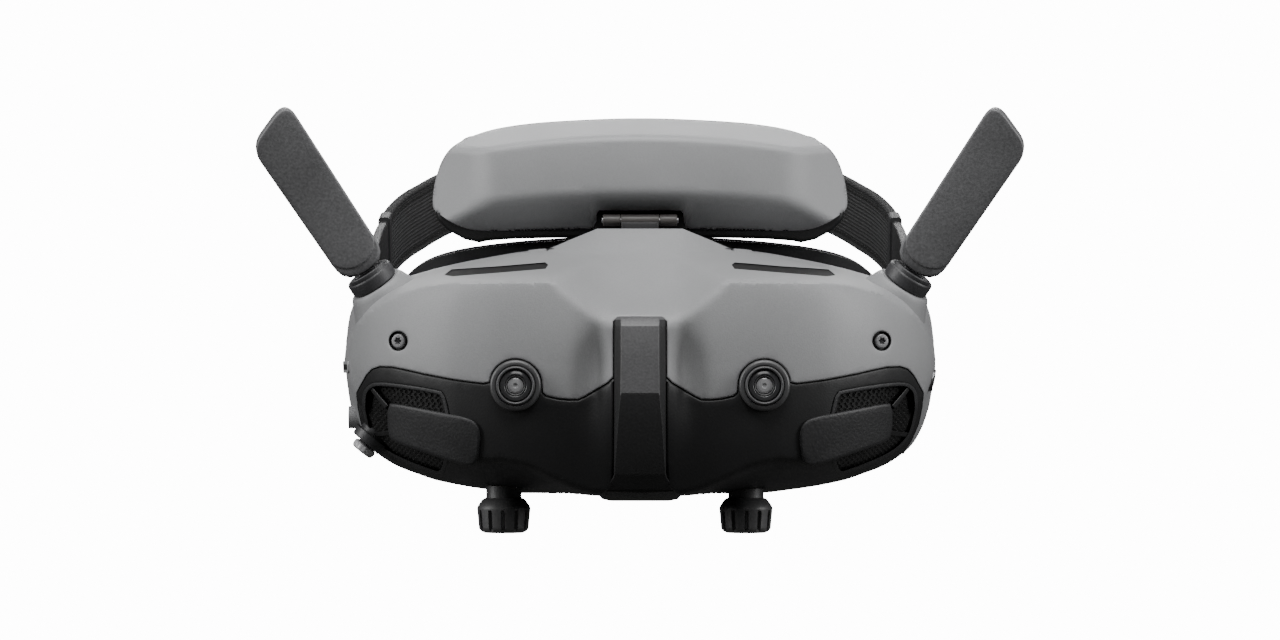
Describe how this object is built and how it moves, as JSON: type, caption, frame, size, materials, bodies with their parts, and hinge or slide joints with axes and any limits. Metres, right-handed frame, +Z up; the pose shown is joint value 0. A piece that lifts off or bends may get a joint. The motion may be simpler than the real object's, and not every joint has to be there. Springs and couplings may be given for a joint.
{
  "type": "fpv goggles",
  "caption": "Head-worn video goggles with a tilting brow pad, folding antennas, front cameras, air intakes, focus knobs and a headband with a battery case.",
  "frame": {"origin": "middle of the face seat at eye height, where the wearer's brow meets the face foam", "axes": "+X to the wearer's left, +Y towards the back of the wearer's head, +Z up; the cameras face -Y"},
  "size_m": [0.2028, 0.3141, 0.1147],
  "materials": {
    "aluminium_raw": "milled",
    "antenna_black": "fine matte texture",
    "arm_black": "matte",
    "bezel_black": "satin",
    "board_green": "solder mask",
    "camera_glass": "polished",
    "case_black": "fine matte texture",
    "cell_wrap": "shrink wrap",
    "cover_black": "matte",
    "eyepiece_glass": "polished",
    "face_foam": "soft knit over foam",
    "face_rubber": "soft matte",
    "fan_black": "moulded",
    "hinge_black": "moulded",
    "knob_black": "moulded grip",
    "lens_black": "satin",
    "light_white": "translucent",
    "mesh_dark": "woven mesh",
    "pad_black": "matte",
    "pad_foam": "soft knit over foam",
    "panel_glass": "display",
    "rail_steel": "ground",
    "screw_steel": "machined",
    "sensor_black": "polished",
    "shell_grey": "fine matte texture",
    "socket_black": "moulded",
    "socket_steel": "stamped",
    "stick_silver": "satin",
    "strap_web": "ribbed webbing",
    "strip_black": "fine matte texture"
  },
  "bodies": {
    "housing": {"audio_jack": "socket_black", "band_pivot_pins": "rail_steel", "camera_bezels": "bezel_black", "camera_glasses": "camera_glass", "camera_modules": "lens_black", "card_slot": "socket_steel", "face_foam": "face_foam", "face_frame": "face_rubber", "fan_housings": "fan_black", "front_screws": "screw_steel", "heat_sink": "aluminium_raw", "intake_louvres": "cover_black", "ipd_rails": "rail_steel", "lower_cover": "cover_black", "main_board": "board_green", "nose_strip": "strip_black", "pad_hinge_bracket": "hinge_black", "power_socket": "socket_steel", "proximity_sensor": "sensor_black", "rear_housing": "cover_black", "upper_shell": "shell_grey", "vent_meshes": "mesh_dark"},
    "brow_pad": {"pad_shell": "shell_grey", "pad_base": "pad_black", "pad_foam": "pad_foam", "pad_hinge_leaf": "hinge_black", "pad_hinge_pin": "rail_steel"},
    "band": {"band_arm_left": "arm_black", "band_arm_right": "arm_black", "strap_left": "strap_web", "strap_right": "strap_web", "rear_case_inner": "case_black", "rear_case_outer": "case_black", "rear_pad": "pad_foam", "battery_cell": "cell_wrap", "charge_light": "light_white"},
    "fit_dial": {"fit_dial": "case_black"},
    "power_button": {"power_button": "case_black"},
    "back_button": {"back_button": "case_black"},
    "stick_ring": {"stick_gimbal": "fan_black"},
    "stick_yoke": {"stick_core": "fan_black"},
    "stick": {"stick_cap": "stick_silver"},
    "antenna_base_left": {"antenna_collar_left": "antenna_black"},
    "antenna_left": {"antenna_paddle_left": "antenna_black"},
    "eye_left": {"lens_carriage_left": "fan_black", "display_panel_left": "panel_glass"},
    "stem_left": {"knob_stem_left": "rail_steel"},
    "knob_left": {"focus_knob_left": "knob_black"},
    "focus_left": {"focus_barrel_left": "lens_black", "eyepiece_lens_left": "eyepiece_glass"},
    "fan_left": {"fan_rotor_left": "fan_black"},
    "antenna_base_right": {"antenna_collar_right": "antenna_black"},
    "antenna_right": {"antenna_paddle_right": "antenna_black"},
    "eye_right": {"lens_carriage_right": "fan_black", "display_panel_right": "panel_glass"},
    "stem_right": {"knob_stem_right": "rail_steel"},
    "knob_right": {"focus_knob_right": "knob_black"},
    "focus_right": {"focus_barrel_right": "lens_black", "eyepiece_lens_right": "eyepiece_glass"},
    "fan_right": {"fan_rotor_right": "fan_black"}
  },
  "joints": [
    {"name": "pad_tilt", "type": "hinge", "parent": "housing", "child": "brow_pad", "pos_m": [0, -0.042, 0.0407], "axis": [1, 0, 0], "range_deg": [-3, 25]},
    {"name": "band_tilt", "type": "hinge", "parent": "housing", "child": "band", "pos_m": [0, -0.016, 0.021], "axis": [1, 0, 0], "range_deg": [0, 15]},
    {"name": "antenna_swivel_left", "type": "hinge", "parent": "housing", "child": "antenna_base_left", "pos_m": [0.0699, -0.058, 0.0234], "axis": [0.5261, -0.2588, 0.8101], "range_deg": [-90, 90]},
    {"name": "antenna_fold_left", "type": "hinge", "parent": "antenna_base_left", "child": "antenna_left", "pos_m": [0.07421, -0.06012, 0.03004], "axis": [0.8387, 0, -0.5446], "range_deg": [0, 85]},
    {"name": "ipd_slide_left", "type": "slide", "parent": "housing", "child": "eye_left", "axis": [1, 0, 0], "range_m": [0, 0.008]},
    {"name": "knob_turn_left", "type": "hinge", "parent": "eye_left", "child": "stem_left", "pos_m": [0.028, -0.058, -0.03], "axis": [0, 0, 1], "range_deg": [-150, 150]},
    {"name": "focus_slide_left", "type": "slide", "parent": "eye_left", "child": "focus_left", "axis": [0, 1, 0], "range_m": [-0.0016, 0.0016]},
    {"name": "knob_push_left", "type": "slide", "parent": "stem_left", "child": "knob_left", "axis": [0, 0, 1], "range_m": [0, 0.003]},
    {"name": "fan_spin_left", "type": "hinge", "parent": "housing", "child": "fan_left", "pos_m": [0.0525, -0.067, -0.005], "axis": [0, 1, 0], "continuous": true},
    {"name": "antenna_swivel_right", "type": "hinge", "parent": "housing", "child": "antenna_base_right", "pos_m": [-0.0699, -0.058, 0.0234], "axis": [0.5261, 0.2588, -0.8101], "range_deg": [-90, 90]},
    {"name": "antenna_fold_right", "type": "hinge", "parent": "antenna_base_right", "child": "antenna_right", "pos_m": [-0.07421, -0.06012, 0.03004], "axis": [0.8387, 0, 0.5446], "range_deg": [0, 85]},
    {"name": "ipd_slide_right", "type": "slide", "parent": "housing", "child": "eye_right", "axis": [1, 0, 0], "range_m": [0, 0.008]},
    {"name": "knob_turn_right", "type": "hinge", "parent": "eye_right", "child": "stem_right", "pos_m": [-0.036, -0.058, -0.03], "axis": [0, 0, 1], "range_deg": [-150, 150]},
    {"name": "focus_slide_right", "type": "slide", "parent": "eye_right", "child": "focus_right", "axis": [0, 1, 0], "range_m": [-0.0016, 0.0016]},
    {"name": "knob_push_right", "type": "slide", "parent": "stem_right", "child": "knob_right", "axis": [0, 0, 1], "range_m": [0, 0.003]},
    {"name": "fan_spin_right", "type": "hinge", "parent": "housing", "child": "fan_right", "pos_m": [-0.0525, -0.067, -0.005], "axis": [0, 1, 0], "continuous": true},
    {"name": "stick_tilt_up_down", "type": "hinge", "parent": "housing", "child": "stick_ring", "pos_m": [-0.06987, -0.052, -0.0157], "axis": [0, 1, 0], "range_deg": [-7, 7], "stiffness_Nm_per_rad": 0.02},
    {"name": "stick_tilt_side", "type": "hinge", "parent": "stick_ring", "child": "stick_yoke", "pos_m": [-0.06987, -0.052, -0.0157], "axis": [0.7828, 0, -0.6222], "range_deg": [-7, 7], "stiffness_Nm_per_rad": 0.02},
    {"name": "stick_press", "type": "slide", "parent": "stick_yoke", "child": "stick", "axis": [0.6222, 0, 0.7828], "range_m": [0, 0.0006], "stiffness_N_per_m": 800},
    {"name": "back_button_press", "type": "slide", "parent": "housing", "child": "back_button", "axis": [1, 0, 0], "range_m": [0, 0.0006], "stiffness_N_per_m": 800},
    {"name": "fit_dial_turn", "type": "hinge", "parent": "band", "child": "fit_dial", "pos_m": [0, 0.205, 0.057], "axis": [0, 1, 0], "continuous": true},
    {"name": "power_button_press", "type": "slide", "parent": "band", "child": "power_button", "axis": [0, -1, 0], "range_m": [0, 0.0006], "stiffness_N_per_m": 800}
  ],
  "couplings": [
    {"joint": "knob_turn_left", "follows": "focus_slide_left", "rad_per_m": 1636},
    {"joint": "knob_turn_right", "follows": "focus_slide_right", "rad_per_m": 1636}
  ]
}
